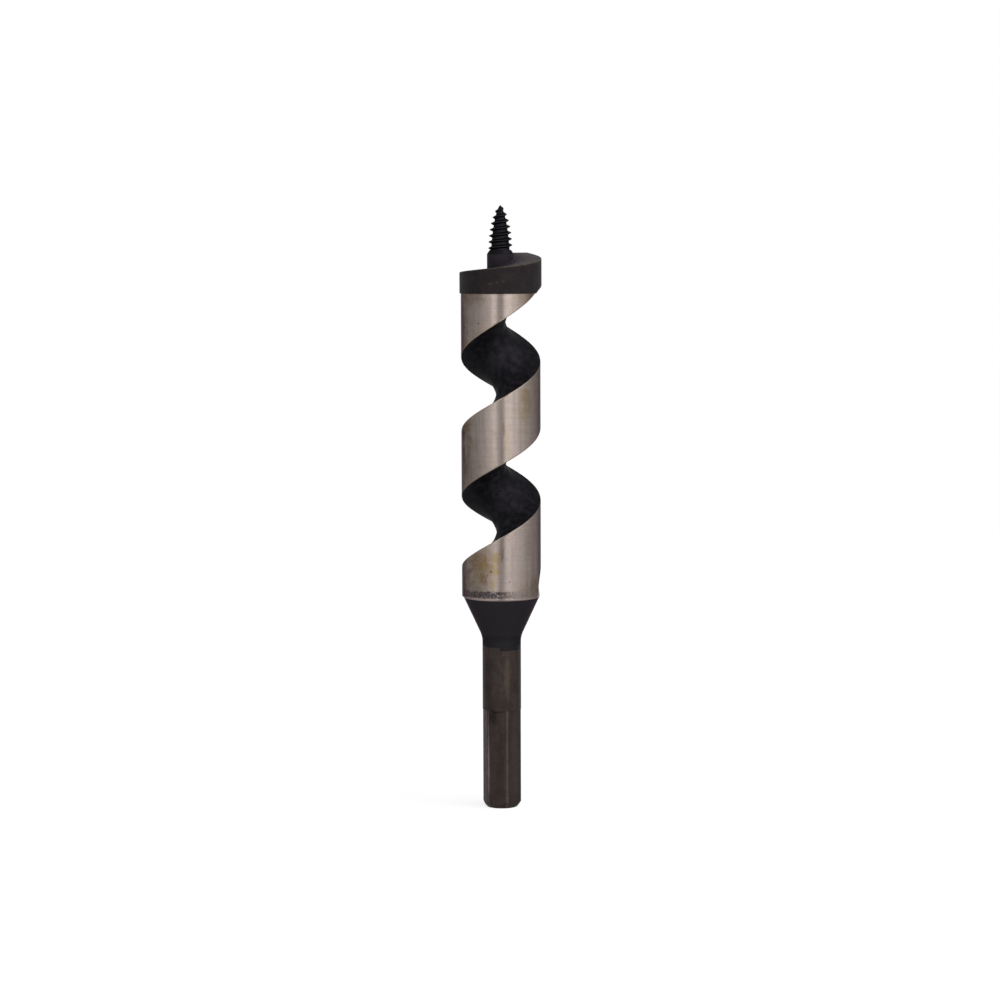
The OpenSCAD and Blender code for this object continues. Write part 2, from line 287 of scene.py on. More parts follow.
def twist_tube(flute_columns=96, land_columns=90):
    """Rings of the twist: along the groove's rounded section, then round the land at the bar's radius. Shore is the
    distance from the land's edge, below zero in the flute, and ground is 1 where the surface is ground bright."""
    z = twist_rows()
    land_r = TWIST_R - np.maximum(0, LAND_BEVEL - (z - SEAT_Z))
    lift = flute_lift(z)
    start = groove_t(land_r - lift, FLUTE_SQUARE)
    t = start + (np.pi - 2 * start) * close_to_ends(flute_columns)
    groove_r = groove_radius(t) + lift
    groove_turn = flute_turn(z) + FLUTE_ANGLE * groove_across(t, FLUTE_SQUARE)
    share = close_to_ends(land_columns + 2)[1:-1]
    land_angle = groove_turn[:, :1] + 360 - groove_turn[:, -1:]
    land_turn = groove_turn[:, -1:] + land_angle * share
    wall = length_along(polar(groove_r, groove_turn, z))
    flute_gap = np.minimum(wall, wall[:, -1:] - wall)
    land_gap = np.minimum(share, 1 - share) * np.radians(land_angle) * land_r * LAND_LEAN
    groove_r = np.minimum(groove_r, land_r - edge_drop(flute_gap))
    land_r = land_r - edge_drop(land_gap)
    grid = np.concatenate([polar(groove_r, groove_turn, z), polar(land_r, land_turn, z)], axis=1)
    shore = np.concatenate([-flute_gap, land_gap], axis=1) / MM
    shallow = np.clip((BRIGHT_DEPTH - (TWIST_R - groove_r)) / BRIGHT_DEPTH_FADE, 0, 1)
    shallow = shallow * np.clip((SEAT_Z + BRIGHT_HEIGHT - z) / BRIGHT_HEIGHT_FADE, 0, 1)
    ground = np.concatenate([shallow, np.ones(land_r.shape)], axis=1)
    return grid, {"shore": shore, "ground": ground}


twist = make_piece("twist", "twist_body", [twist_tube()])

# %% [markdown]
# The head is the dark band above the twist. It is a ribbon that climbs once round the bit, and where it meets
# the flute again it ends in the cutting lip. A cylinder cut with booleans leaves ragged shading, so the
# ribbon is made from upright sections that follow the turn, and the flute's own formula shapes its underside.

# %% Formulas of the head
def ramp_rise(turn):
    """Rise of the ramp above the seat: a straight share of its turn, bent towards the square of that share."""
    share = (turn - FLUTE_ANGLE) / RAMP_TURN
    return HEAD_WALL + RAMP_HEIGHT * share * (1 - RAMP_BEND + RAMP_BEND * share)


def lip_rise(past):
    """Rise of the lip's underside: a power of the turn past the flute's first edge, up to the cutting edge, and a
    short bulge u (1 - u)^2 in front, which lets it start with the flute's own slope."""
    u = np.clip(past / LIP_START_TURN, 0, 1)
    return (HEAD_WALL + RAMP_HEIGHT - LIP_EDGE) * (past / LIP_TURN) ** LIP_EASE + LIP_START * u * (1 - u) ** 2


def upright_tube(turn, radius, top, foot, wall_rows):
    """Sections in a half plane at each turn: out along the top, down the wall, back along the foot."""
    share = np.linspace(0, 1, wall_rows + 2)[1:-1]
    wall_top, wall_foot = top[:, -1:], foot[:, -1:]
    wall_z = wall_top + (wall_foot - wall_top) * share
    wall_r = np.broadcast_to(radius[:, -1:], wall_z.shape)
    r = np.concatenate([radius, wall_r, radius[:, ::-1]], axis=1)
    z = np.concatenate([top, wall_z, foot[:, ::-1]], axis=1)
    return polar(r, FLUTE_PHASE + turn, HEAD_Z + z)


def quarter_round(into):
    """Drop of a quarter circle of size 1, where into goes from 0 at its start to 1 at its end."""
    return 1 - np.sqrt(1 - np.clip(into, 0, 1) ** 2)


# %% The ribbon of the head
def ribbon_marks(grid, turn, radius):
    """Values on the ribbon: distance from the rim or an end, 1 on the ramp, and a fade away from the neck."""
    radial = radius.shape[1]
    rim_column = radial - 2
    along = length_along(grid)
    rim = np.abs(along - along[:, rim_column:rim_column + 1])
    ends = np.radians(np.minimum(turn - FLUTE_ANGLE, RAMP_END - turn)) * HEAD_R
    edge = np.minimum(rim, ends) / MM
    ramp_face, neck = np.zeros(edge.shape), np.zeros(edge.shape)
    ramp_face[:, :rim_column - 1] = 1
    neck[:, :radial] = np.clip((NECK_R + NECK_DARK_REACH - radius) / (NECK_DARK_REACH - NECK_FILLET), 0, 1)
    return {"edge": edge, "ramp_face": ramp_face, "neck": neck}


def ramp_ribbon(turn_rows=300, radial=40, wall_rows=26):
    """The ribbon: top on the ramp, foot on the twist's end, then on the flute's upper wall up to the lip."""
    turn = np.linspace(FLUTE_ANGLE, RAMP_END, turn_rows)[:, None]
    radius = HEAD_INNER_R + (HEAD_R - HEAD_INNER_R) * np.sin(np.linspace(0, np.pi / 2, radial))
    radius = np.broadcast_to(radius, (turn_rows, radial))
    past = np.maximum(0, turn - 360)
    square = FLUTE_SQUARE + (LIP_SQUARE - FLUTE_SQUARE) * past / LIP_TURN
    foot = np.maximum(0, lip_rise(past) - FLUTE_WIDTH * across_at(radius, square))
    thick = np.maximum(ramp_rise(turn) - foot, LIP_EDGE / 2)
    top_round = np.minimum(HEAD_ROUND, thick[:, -1:] * ROUND_LIMIT)
    foot_round = top_round * FOOT_ROUND
    top = foot + thick - top_round * quarter_round((radius - HEAD_R + top_round) / top_round)
    fillet_r = NECK_R + NECK_FILLET
    top = top + NECK_FILLET * quarter_round((fillet_r - radius) / NECK_FILLET)
    top = np.where(radius < fillet_r, np.minimum(top, NECK_HEIGHT - NECK_BEVEL), top)
    foot = foot + foot_round * quarter_round((radius - HEAD_R + foot_round) / foot_round)
    grid = upright_tube(turn, radius, top, foot, wall_rows)
    return grid, ribbon_marks(grid, turn, radius)


# %% The throat, the neck and the whole head
def throat_wall(turn_rows=90, radial=40, wall_rows=2):
    """The flute's lower wall carried up into the head, from the hub out to where it meets the twist's end."""
    turn = np.linspace(FLUTE_ANGLE / 2, FLUTE_ANGLE, turn_rows)[:, None]
    meets = 1 - turn / FLUTE_ANGLE
    t = np.arccos(np.clip(1 - 2 * meets, 0, 1) ** (FLUTE_SQUARE / 2))
    outer = np.clip(groove_radius(t), HEAD_INNER_R + THROAT_SINK, HEAD_R)
    radius = HEAD_INNER_R + (outer - HEAD_INNER_R) * np.linspace(0, 1, radial)
    top = FLUTE_LEAD * turn / 360 - FLUTE_WIDTH * (1 - across_at(radius, FLUTE_SQUARE))
    top = np.clip(top, 0, NECK_HEIGHT - THROAT_TOP_GAP)
    foot = np.full(top.shape, -THROAT_SINK)
    grid = upright_tube(turn, radius, top, foot, wall_rows)
    return grid, {"edge": FAR_FROM_EDGE, "ramp_face": 0.0, "neck": 0.5}


def turned_tube(profile, columns=96):
    """A profile of radius and height turned round the axis."""
    turn = np.linspace(0, 360, columns, endpoint=False)[None, :]
    return polar(profile[:, :1], turn, profile[:, 1:])


neck_profile = np.array([
    [CORE_R, HEAD_Z], [NECK_R, HEAD_Z + HUB_HEIGHT], [NECK_R, NECK_Z - NECK_BEVEL], [NECK_R - NECK_BEVEL, NECK_Z],
    [BORE_R, NECK_Z], [BORE_R, NECK_Z - BORE_DEPTH], [BORE_FLOOR_R, NECK_Z - BORE_DEPTH]])
neck_tube = (turned_tube(neck_profile), {"edge": FAR_FROM_EDGE, "ramp_face": 0.0, "neck": 1.0})
head = make_piece("head", "cutting_head", [ramp_ribbon(), throat_wall(), neck_tube])

# %% [markdown]
# The screw point pulls the bit into the wood. It is a slim pointed cone with a sharp fin wound round it. The
# cone is a turned profile, and the fin is a profile carried along the helix, so its crest stays one clean line.

# %% The screw point
def thread_share(z):
    """Share of the thread's height, from 0 at the shoulder to 1 at the tip."""
    return np.clip((z - THREAD_Z) / THREAD_LENGTH, 0, 1)


def thread_crest(z):
    """Radius over the crests: full size times (1 - h^2.2)^0.65, where h is the share of the thread's height."""
    return THREAD_R * (1 - thread_share(z) ** OGIVE_POWER) ** OGIVE_ROUND


def thread_root(z):
    """Radius between the fins: a share of the crest's radius, which falls towards the tip and swells with the cube
    of the height that is left towards the shoulder."""
    h = thread_share(z)
    return thread_crest(z) * (THREAD_ROOT * (1 - ROOT_THINNING * h) + ROOT_SWELL * (1 - h) ** 3)


def point_core(rows=120):
    """Spigot, bevelled shoulder and the root of the thread as one turned profile."""
    z = THREAD_Z + THREAD_LENGTH * np.sin(np.linspace(0, np.pi / 2, rows))
    root = np.maximum(TIP_R, thread_root(z))
    foot = np.array([
        [SPIGOT_R, NECK_Z - SPIGOT_LENGTH], [SPIGOT_R, NECK_Z], [NECK_R, NECK_Z], [SHOULDER_TOP_R, THREAD_Z]])
    profile = np.concatenate([foot, np.stack([root, z], axis=-1)])
    return turned_tube(profile), {"crest": 0.0}


def point_fin(steps_per_turn=96):
    """Fin carried along the helix: straight flanks, a narrow crest, height between root and crest, a fade in. The
    two outermost points of its profile sink into the root."""
    turns = (THREAD_LENGTH - FIN_END_GAP) / THREAD_PITCH - 0.5
    turn = np.linspace(-180, 360 * turns, int(steps_per_turn * (turns + 0.5)))[:, None]
    z = THREAD_Z + THREAD_PITCH * (0.5 + turn / 360)
    fade = np.clip((z - THREAD_Z) / (FIN_FADE * THREAD_PITCH), FIN_FADE_LEAST, 1)
    half = np.array([0.08, 0.16, 0.28, 0.42, 0.6, 0.8, 1, 1])
    place = np.concatenate([-half[::-1], half])
    share = np.clip((1 - np.abs(place)) / (1 - FIN_CREST), 0, 1)
    sunk = np.zeros(place.shape)
    sunk[[0, -1]] = FIN_SUNK
    point_z = np.minimum(z + place * FIN_HALF_WIDTH * THREAD_PITCH, TIP_Z - FIN_TOP_GAP)
    crest, root = thread_crest(point_z), thread_root(point_z)
    radius = root * (1 - sunk) + (crest - root) * share * fade
    grid = polar(np.maximum(radius, FIN_LEAST_R), THREAD_PHASE + turn, point_z)
    return grid[:, ::-1], {"crest": np.broadcast_to(share[::-1], grid.shape[:2])}


point = make_piece("screw_tip", "screw_point", [point_core(), point_fin()])

# %% [markdown]
# The collar is the black cone under the twist. It is turned on a lathe, so a turned profile is the whole story,
# with a small hollow where the cone grows out of the neck.

# %% The collar
def collar_profile(rows=40):
    """Straight neck, then a cone whose foot is eased in by a short parabola."""
    slope = (CONE_TOP_R - SHANK_R) / (SEAT_Z - CONE_Z)
    z = np.linspace(SHANK_LENGTH, SEAT_Z, rows)
    into = np.clip((z - (CONE_Z - CONE_EASE)) / (2 * CONE_EASE), 0, 1)
    radius = SHANK_R + slope * np.where(z > CONE_Z + CONE_EASE, z - CONE_Z, CONE_EASE * into ** 2)
    return np.stack([radius, z], axis=-1)


collar_tube = turned_tube(collar_profile(), columns=128)
collar = make_piece("collar", "shank_collar", [(collar_tube, {})])

# %% [markdown]
# The shank goes into the chuck. It is a round bar with six flats ground on its lower half; the corners between
# the flats keep the round of the bar. One radius for each turn and height says it all: the smaller of the bar,
# the flats and the domed end, with a very slight softening where they meet.

# %% Formulas of the shank
SIDES = 6
SIDE_TURN = 360 / SIDES
OUTSIDE_R = SHANK_R * 1.2
RUNOUT_SINK = 0.05 * MM
# Lower and upper height in millimetres and number of rings: domed end, flats, their run-out, round bar
SHANK_ZONES = ((0.0, 2.47, 14), (3.0, 29.9, 70), (30.1, 31.9, 25), (32.3, 52.0, 46))


def zone_radius(low_r, low_z, high_r, high_z, z):
    """Radius at a height of the sphere through two circles round the axis."""
    middle = (high_r ** 2 - low_r ** 2 + high_z ** 2 - low_z ** 2) / (2 * (high_z - low_z))
    size = math.hypot(low_r, low_z - middle)
    z = np.clip(z, low_z, high_z)
    return np.sqrt(np.maximum(0, size ** 2 - (z - middle) ** 2))


def softer(a, b, size):
    """Lower of two values, rounded where they cross: minus size times the log of the summed exponentials."""
    low = np.minimum(a, b)
    return low - size * np.log1p(np.exp(-np.abs(a - b) / size))


def shank_turns(flat_columns=19, round_columns=7, clear=2.0):
    """Turns of the columns on all sides: along a flat, close together at its corner, along the round, and again."""
    corner = math.degrees(math.acos(HEX_FLAT / SHANK_R))
    near = np.array([-1.2, -0.6, 0, 0.6, 1.2])
    side = np.concatenate([
        np.linspace(-corner + clear, corner - clear, flat_columns), corner + near,
        np.linspace(corner + clear, SIDE_TURN - clear - corner, round_columns), SIDE_TURN - corner + near])
    starts = HEX_TURN + SIDE_TURN / 2 + SIDE_TURN * np.arange(SIDES)
    return (starts[:, None] + side[None, :]).reshape(1, -1)


# %% The shank
def shank_tube(soft=0.035 * MM):
    """Radius over turn and height: bar, flats and domed end, whichever is smallest."""
    turn = shank_turns()
    z = np.concatenate([np.linspace(low * MM, high * MM, count) for low, high, count in SHANK_ZONES])[:, None]
    off = (turn - HEX_TURN) % SIDE_TURN - SIDE_TURN / 2
    flats = HEX_FLAT / np.cos(np.radians(off))
    rise = zone_radius(HEX_FLAT - RUNOUT_SINK, HEX_LENGTH, SHANK_R, FLATS_TOP, z)
    flats = np.where(z > HEX_LENGTH, np.maximum(flats, rise), flats)
    flats = np.where(z > FLATS_TOP, OUTSIDE_R, flats)
    end = zone_radius(SHANK_R - END_BEVEL, 0, SHANK_R, END_BEVEL_HEIGHT, z)
    end = np.where(z > END_BEVEL_HEIGHT, OUTSIDE_R, end)
    radius = np.minimum(softer(SHANK_R, flats, soft), end)
    edge = np.radians(SIDE_TURN / 2 - np.abs(off)) * SHANK_R / MM
    edge = np.where(z > FLATS_TOP, FAR_FROM_EDGE, edge)
    return polar(radius, turn, z), {"edge": edge}


shank = make_piece("shank", "drive_shank", [shank_tube()], sharp_angle=20)

# %% [markdown]
# Finishes. Each material is a Principled shader whose colour, roughness and bump come from small patterns. A
# pattern that several finishes need is built once as a node group with named inputs. Positions come from
# Object coordinates, here scaled to millimetres, so a pattern keeps its real size and stays on the piece.

# %% Helpers for node trees
def node(tree, kind, values=None, **settings):
    """A node with its settings. In values a socket is linked to the input, and anything else is set on it."""
    made = tree.nodes.new(kind)
    for key, value in settings.items():
        setattr(made, key, value)
    for key, value in (values or {}).items():
        if isinstance(value, bpy.types.NodeSocket):
            tree.links.new(value, made.inputs[key])
        else:
            made.inputs[key].default_value = value
    return made


def calc(tree, operation, *terms, clamp=False):
    """One Math node."""
    return node(tree, "ShaderNodeMath", dict(enumerate(terms)), operation=operation, use_clamp=clamp).outputs[0]


def eased(tree, value, low, high, to_low=0.0, to_high=1.0):
    """Smooth step from one value to another as the input goes from low to high."""
    values = {"Value": value, "From Min": low, "From Max": high, "To Min": to_low, "To Max": to_high}
    return node(tree, "ShaderNodeMapRange", values, interpolation_type="SMOOTHSTEP").outputs[0]


def over(tree, share, under, upper):
    """One colour laid over another where the share is 1."""
    return node(tree, "ShaderNodeMix", {0: share, 6: under, 7: upper}, data_type="RGBA").outputs[2]


def partly(tree, strength, mask, under, upper):
    """One colour laid over another by a mask times a strength."""
    return over(tree, calc(tree, "MULTIPLY", mask, strength), under, upper)


def colour(red, green, blue):
    """A linear colour with full alpha."""
    return (red, green, blue, 1.0)


def place_mm(tree):
    """Object coordinates in millimetres."""
    where = node(tree, "ShaderNodeTexCoord").outputs["Object"]
    return node(tree, "ShaderNodeVectorMath", {0: where, "Scale": 1 / MM}, operation="SCALE").outputs["Vector"]


def noise(tree, vector, scale, detail=4.0, roughness=0.55):
    """Value of a noise texture, about 0.2 to 0.8."""
    values = {"Vector": vector, "Scale": scale, "Detail": detail, "Roughness": roughness}
    return node(tree, "ShaderNodeTexNoise", values).outputs[0]


# %% Helpers for node groups
def new_group(name, inputs, output):
    """An empty shader node group with float inputs and one float output."""
    tree = bpy.data.node_groups.new(name, "ShaderNodeTree")
    for label, value in inputs.items():
        tree.interface.new_socket(name=label, in_out="INPUT", socket_type="NodeSocketFloat").default_value = value
    tree.interface.new_socket(name=output, in_out="OUTPUT", socket_type="NodeSocketFloat")
    return tree, tree.nodes.new("NodeGroupInput").outputs, tree.nodes.new("NodeGroupOutput").inputs


def use(tree, group, **values):
    """A group placed in a tree, with underscores in the input names read as spaces."""
    values = {key.replace("_", " "): value for key, value in values.items()}
    return node(tree, "ShaderNodeGroup", values, node_tree=group).outputs[0]


def ragged_noise(tree, place, given):
    """Noise about zero, with the Scale of a group's input and times its Ragged input."""
    even = calc(tree, "SUBTRACT", noise(tree, place, given["Scale"], detail=5.0), 0.5)
    return calc(tree, "MULTIPLY", even, given["Ragged"])


# %% Tool lines and mottling
tree, given, result = new_group("tool_lines", {"Along": 4.0, "Around": 0.05}, "Lines")
squeeze = node(tree, "ShaderNodeCombineXYZ", {0: given["Around"], 1: given["Around"], 2: given["Along"]})
squeezed = node(tree, "ShaderNodeVectorMath", {0: place_mm(tree), 1: squeeze.outputs[0]}, operation="MULTIPLY")
tree.links.new(noise(tree, squeezed.outputs["Vector"], 1.0, detail=3.0), result["Lines"])
tool_lines = tree

tree, given, result = new_group("oxide_mottle", {"Scale": 1.0, "Low": 0.4, "High": 0.6}, "Mask")
patches = noise(tree, place_mm(tree), given["Scale"], detail=6.0, roughness=0.62)
tree.links.new(eased(tree, patches, given["Low"], given["High"]), result["Mask"])
oxide_mottle = tree

# %% Edge wear, ragged bands and stains
tree, given, result = new_group("edge_wear", {"Edge": 1.0, "Width": 0.5, "Scale": 1.5}, "Mask")
uneven = eased(tree, noise(tree, place_mm(tree), given["Scale"]), 0.3, 0.7, 0.3, 1.7)
reach = calc(tree, "MULTIPLY", given["Width"], uneven)
tree.links.new(eased(tree, calc(tree, "DIVIDE", given["Edge"], reach), 1.0, 0.15), result["Mask"])
edge_wear = tree

band_inputs = {"From": 0.0, "To": 1.0, "Ragged": 0.5, "Soft": 0.2, "Scale": 1.0}
tree, given, result = new_group("ragged_band", band_inputs, "Mask")
place = place_mm(tree)
height = node(tree, "ShaderNodeSeparateXYZ", {0: place}).outputs[2]
height = calc(tree, "ADD", height, ragged_noise(tree, place, given))
rising = eased(tree, calc(tree, "DIVIDE", calc(tree, "SUBTRACT", height, given["From"]), given["Soft"]), -0.5, 0.5)
falling = eased(tree, calc(tree, "DIVIDE", calc(tree, "SUBTRACT", height, given["To"]), given["Soft"]), 0.5, -0.5)
tree.links.new(calc(tree, "MULTIPLY", rising, falling), result["Mask"])
ragged_band = tree

stain_inputs = {"Turn": 0.0, "Height": 100.0, "Half turn": 20.0, "Half height": 5.0, "Ragged": 0.5, "Scale": 0.5}
tree, given, result = new_group("stain", stain_inputs, "Mask")
place = place_mm(tree)
axes = node(tree, "ShaderNodeSeparateXYZ", {0: place}).outputs
turn = calc(tree, "DEGREES", calc(tree, "ARCTAN2", axes[1], axes[0]))
aside = calc(tree, "WRAP", calc(tree, "SUBTRACT", turn, given["Turn"]), 180.0, -180.0)
aside = calc(tree, "DIVIDE", aside, given["Half turn"])
above = calc(tree, "DIVIDE", calc(tree, "SUBTRACT", axes[2], given["Height"]), given["Half height"])
squares = calc(tree, "ADD", calc(tree, "MULTIPLY", aside, aside), calc(tree, "MULTIPLY", above, above))
far = calc(tree, "ADD", calc(tree, "SQRT", squares), ragged_noise(tree, place, given))
tree.links.new(eased(tree, far, 1.0, 0.2), result["Mask"])
stain = tree
print("node groups:", sorted(g.name for g in bpy.data.node_groups))

# %% [markdown]
# A finish is put together the same way each time: colour, roughness and bump height from the patterns, then one
# Principled shader. Dark steel is still a metal: it mirrors its surroundings, only weakly, so its Base Color is
# dark and Metallic is 1.

# %% A steel material
def new_finish(name):
    """A fresh material with an empty node tree."""
    material = bpy.data.materials.new(name)
    material.use_nodes = True
    material.node_tree.nodes.clear()
    return material, material.node_tree


def mark(tree, name):
    """Value of a named attribute of the mesh."""
    return node(tree, "ShaderNodeAttribute", attribute_name=name).outputs["Fac"]


def stain_at(tree, spot, ragged, scale):
    """Mask of a stain. The spot gives the turn and height of its middle, its half turn and its half height."""
    turn, height, half_turn, half_height = spot
    return use(tree, stain, Turn=turn, Height=height, Half_turn=half_turn, Half_height=half_height,
               Ragged=ragged, Scale=scale)


def finish_steel(piece, material, base, roughness, height, bump_mm, strength, tint, anisotropic=0.0):
    """Principled steel on a piece: Base Color, Roughness and bump height from sockets, Specular Tint from a socket
    or a colour, the rest as plain values. With anisotropic, highlights follow tool lines round the axis."""
    tree = material.node_tree
    bump = node(tree, "ShaderNodeBump", {"Strength": strength, "Distance": bump_mm * MM, "Height": height})
    values = {"Base Color": base, "Metallic": 1.0, "Roughness": roughness, "Normal": bump.outputs[0],
              "Specular Tint": tint, "Anisotropic": anisotropic}
    if anisotropic:
        values["Anisotropic Rotation"] = 0.25
        values["Tangent"] = node(tree, "ShaderNodeTangent", direction_type="RADIAL", axis="Z").outputs[0]
    steel = node(tree, "ShaderNodeBsdfPrincipled", values)
    node(tree, "ShaderNodeOutputMaterial", {0: steel.outputs[0]})
    piece.data.materials.append(material)
    print("finish of", piece.name, "is", material.name)


# %% [markdown]
# The land of the twist is ground bright, with brown and golden tarnish and some painted shade on the side left of
# the camera, and the flute keeps the black of the heat treatment. Both are one piece of steel, so one material
# mixes them by the measured distance from the edge between the two.

# %% Ground land
material, tree = new_finish("ground_and_black_steel")
shore = mark(tree, "shore")
ground = mark(tree, "ground")
lines = use(tree, tool_lines, Along=6.0, Around=0.05)
streaks = use(tree, tool_lines, Along=0.03, Around=0.8)
cloudy = use(tree, oxide_mottle, Scale=0.16, Low=0.46, High=0.68)
fine = use(tree, oxide_mottle, Scale=1.5, Low=0.45, High=0.75)
blotches = use(tree, oxide_mottle, Scale=0.55, Low=0.50, High=0.66)
grain = use(tree, oxide_mottle, Scale=3.2, Low=0.35, High=0.65)
land = over(tree, eased(tree, lines, 0.3, 0.7), colour(0.162, 0.135, 0.124), colour(0.190, 0.158, 0.145))
land = partly(tree, 0.55, eased(tree, streaks, 0.48, 0.72), land, colour(0.122, 0.098, 0.087))
land = partly(tree, 0.40, cloudy, land, colour(0.146, 0.116, 0.088))
land = partly(tree, 0.25, fine, land, colour(0.105, 0.085, 0.074))
land = partly(tree, 0.30, blotches, land, colour(0.128, 0.102, 0.078))
land = partly(tree, 0.14, grain, land, colour(0.235, 0.205, 0.190))

# %% Tarnish on the land, partly painted shade along its left edge
golden, bright_golden = colour(0.124, 0.086, 0.048), colour(0.178, 0.138, 0.088)
brown, olive = colour(0.082, 0.062, 0.050), colour(0.095, 0.077, 0.058)
# The broad brown and olive patches at turns near -140 to -158, on the side left of the camera, are partly tarnish
# and partly painted shade for the dark reflection along that edge.
# Turn, height, half turn and half height of a patch, then its strength and tone
tarnish_and_edge_shade = (
    ((-122, 77.0, 32, 7.5), 0.90, golden),
    ((-99, 77.0, 8, 7.0), 0.85, colour(0.178, 0.130, 0.062)),
    ((-117, 74.3, 7, 3.0), 0.65, colour(0.085, 0.058, 0.036)),
    ((-103, 72.0, 6, 5.0), 0.60, colour(0.165, 0.128, 0.076)),
    ((-152, 74.0, 18, 9.0), 0.60, brown),
    ((-89, 83.0, 4, 5.5), 0.65, brown),
    ((-47, 85.0, 9, 7.0), 0.50, colour(0.125, 0.100, 0.066)),
    ((-42, 69.0, 28, 5.0), 0.50, brown),
    ((-81, 117.0, 4, 8.0), 0.75, bright_golden),
    ((-86, 121.5, 3, 4.0), 0.60, colour(0.100, 0.076, 0.046)),
    ((-53, 127.5, 16, 8.5), 0.70, colour(0.138, 0.106, 0.066)),
    ((-146, 111.0, 9, 15.0), 0.55, brown),
    ((-140, 107.0, 26, 16.0), 0.40, olive),
    ((-158, 150.0, 24, 18.0), 0.55, olive),
    ((-136, 161.8, 36, 3.5), 0.70, colour(0.100, 0.076, 0.054)),
    ((-48, 161.0, 28, 4.5), 0.60, golden),
    ((-42, 161.5, 8, 2.5), 0.70, brown),
    ((-130, 71.3, 24, 2.8), 0.65, colour(0.104, 0.078, 0.058)),
    ((-110, 77.2, 10, 3.6), 0.85, colour(0.135, 0.094, 0.050)),
    ((-116, 79.6, 22, 3.4), 0.95, colour(0.130, 0.088, 0.044)),
    ((-95, 79.0, 5, 5.0), 0.85, colour(0.150, 0.110, 0.060)),
    ((-134, 78.6, 13, 3.6), 0.85, colour(0.104, 0.070, 0.040)),
    ((-148, 121.0, 20, 7.0), 0.75, colour(0.098, 0.074, 0.050)),
    ((-157, 113.0, 10, 10.0), 0.55, brown),
    ((-52, 130.0, 10, 5.0), 0.60, colour(0.128, 0.090, 0.050)),
    ((-58, 70.5, 16, 2.6), 0.35, colour(0.125, 0.098, 0.070)),
    ((-35, 72.5, 10, 4.0), 0.60, colour(0.118, 0.094, 0.072)),
    ((35, 92.0, 26, 9.0), 0.60, golden),
    ((75, 142.0, 30, 12.0), 0.55, olive),
    ((110, 120.0, 22, 10.0), 0.55, brown),
    ((150, 98.0, 20, 8.0), 0.60, bright_golden),
    ((60, 70.5, 30, 4.0), 0.60, brown),
    ((20, 112.0, 18, 9.0), 0.55, golden),
    ((125, 84.0, 16, 12.0), 0.50, olive),
    ((95, 156.0, 24, 6.0), 0.60, golden))
blotchy = eased(tree, use(tree, oxide_mottle, Scale=0.9, Low=0.40, High=0.62), 0.0, 1.0, 0.6, 1.15)
for spot, strength, tone in tarnish_and_edge_shade:
    patch = calc(tree, "MULTIPLY", stain_at(tree, spot, ragged=1.6, scale=0.3), blotchy, clamp=True)
    land = partly(tree, strength, patch, land, tone)
print("patches of tarnish:", len(tarnish_and_edge_shade))

# %% Pits, the rim and the lower end of the land
dark_pits = (
    (-105.1, 76.4, 2.1, 0.50), (-110.5, 75.1, 1.6, 0.42), (-155.6, 152.4, 2.6, 0.42), (-123.6, 153.9, 1.6, 0.55),
    (-78.0, 73.3, 1.2, 0.35))
for spot in dark_pits:
    land = partly(tree, 0.85, stain_at(tree, spot, ragged=0.5, scale=2.0), land, colour(0.022, 0.018, 0.017))
rim_line = use(tree, edge_wear, Edge=calc(tree, "ABSOLUTE", calc(tree, "SUBTRACT", shore, 0.2)), Width=0.3)
land = partly(tree, 0.5, rim_line, land, colour(0.16, 0.12, 0.08))
band = use(tree, ragged_band, From=67.8, To=70.0, Ragged=1.4, Soft=0.7, Scale=0.8)
band = calc(tree, "MULTIPLY", band, stain_at(tree, (-114.0, 68.5, 70.0, 40.0), ragged=0.4, scale=0.4))
specks = use(tree, oxide_mottle, Scale=1.8, Low=0.33, High=0.50)
band = calc(tree, "MULTIPLY", band, specks)
land = partly(tree, 0.95, band, land, colour(0.030, 0.024, 0.027))
bevel_ring = use(tree, ragged_band, From=66.0, To=67.62, Ragged=0.1, Soft=0.12, Scale=0.8)
land = partly(tree, 0.8, bevel_ring, land, colour(0.31, 0.25, 0.24))
print("pits in the land:", len(dark_pits))

# %% Black of the flute, and both on one piece
flute_mottle = use(tree, oxide_mottle, Scale=0.5, Low=0.4, High=0.7)
flute = over(tree, flute_mottle, colour(0.0088, 0.0081, 0.0100), colour(0.0198, 0.0182, 0.0219))
border = calc(tree, "ADD", shore, calc(tree, "MULTIPLY", calc(tree, "SUBTRACT", lines, 0.5), 0.12))
on_land = calc(tree, "MAXIMUM", eased(tree, border, -0.03, 0.03), ground)
base = over(tree, on_land, flute, land)
land_rough = eased(tree, fine, 0.0, 1.0, 0.29, 0.36)
flute_rough = eased(tree, flute_mottle, 0.0, 1.0, 0.58, 0.68)
roughness = node(tree, "ShaderNodeMix", {0: on_land, 2: flute_rough, 3: land_rough}, data_type="FLOAT").outputs[0]
height = calc(tree, "MULTIPLY", lines, on_land)
tint = over(tree, eased(tree, shore, -0.03, 0.03), colour(0.56, 0.56, 0.56), colour(0.31, 0.30, 0.34))
finish_steel(twist, material, base, roughness, height, 0.01, 0.12, tint, anisotropic=0.5)

# %% [markdown]
# The head is covered with the dark scale of hardening. It is rubbed down to a brownish grey along the rim, and
# the ramp on top, where shavings slide, has a purple-grey look. The neck above it is nearly black.

